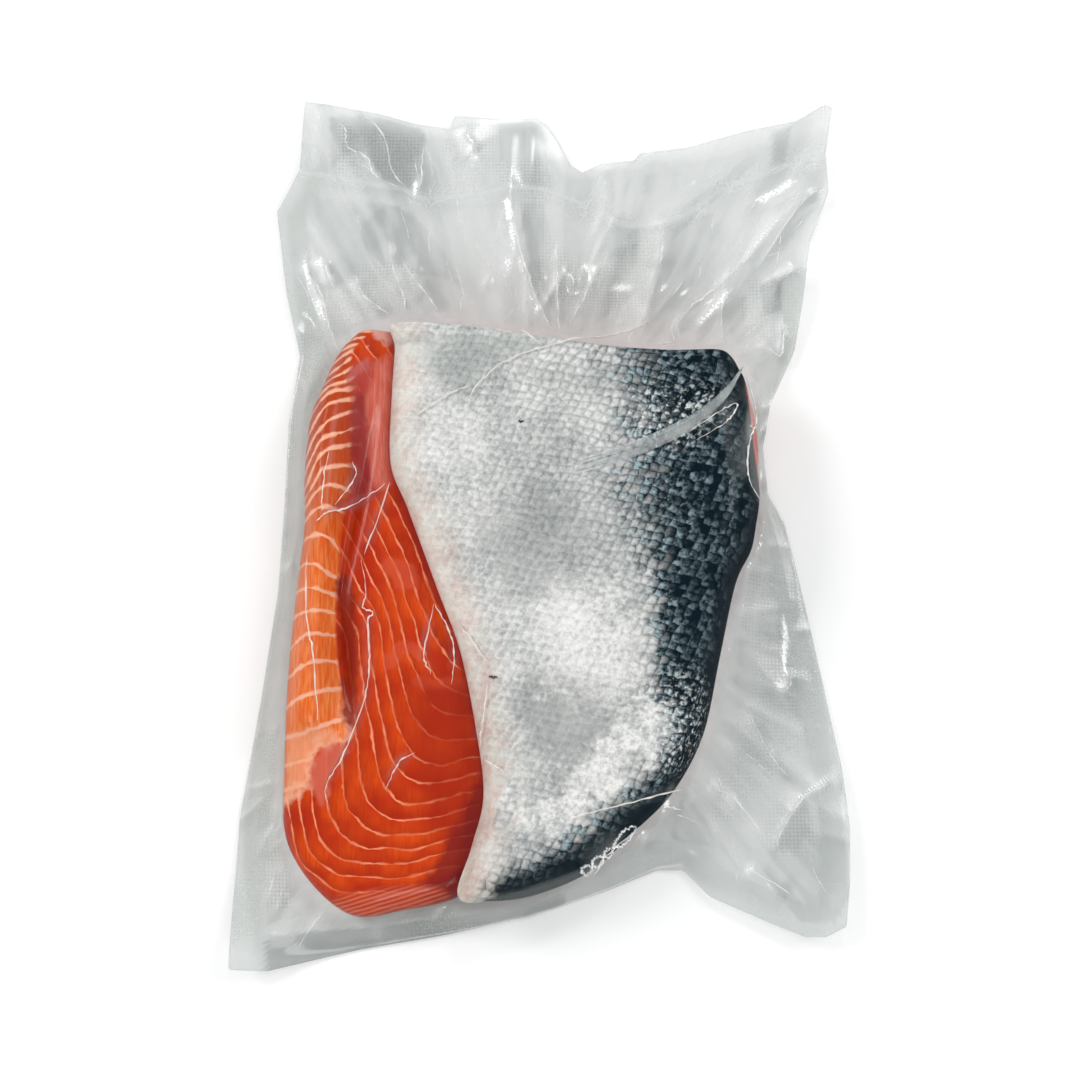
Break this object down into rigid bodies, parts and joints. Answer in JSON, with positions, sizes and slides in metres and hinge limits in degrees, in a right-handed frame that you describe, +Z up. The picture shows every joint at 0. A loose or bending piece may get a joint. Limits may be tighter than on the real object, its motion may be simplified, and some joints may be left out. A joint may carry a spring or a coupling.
{
  "type": "vacuum-packed raw salmon fillet",
  "caption": "Raw salmon fillets, one skin side up over one flesh side up, sealed flat in a clear embossed vacuum pouch with a wavy rim.",
  "frame": {"origin": "middle of the pouch's flat underside, at the middle of the pouch's width and length", "axes": "+Z up from the table, +Y along the pouch towards its machine-sealed end, +X across it towards the fish's back"},
  "size_m": [0.242, 0.356, 0.0445],
  "materials": {
    "pouch_film": "clear polyamide and polyethylene film with a fine embossed weave, glossy",
    "fish_skin": "wet scaly skin, blue-black along the back, silver on the side, cream at the belly",
    "fish_flesh": "moist orange flesh with pale curved lines between its flakes"
  },
  "bodies": {
    "root": {"pouch_back": "pouch_film", "pouch_front": "pouch_film", "lower_skin": "fish_skin", "lower_flesh": "fish_flesh", "upper_flesh": "fish_flesh", "upper_skin": "fish_skin"}
  },
  "joints": []
}
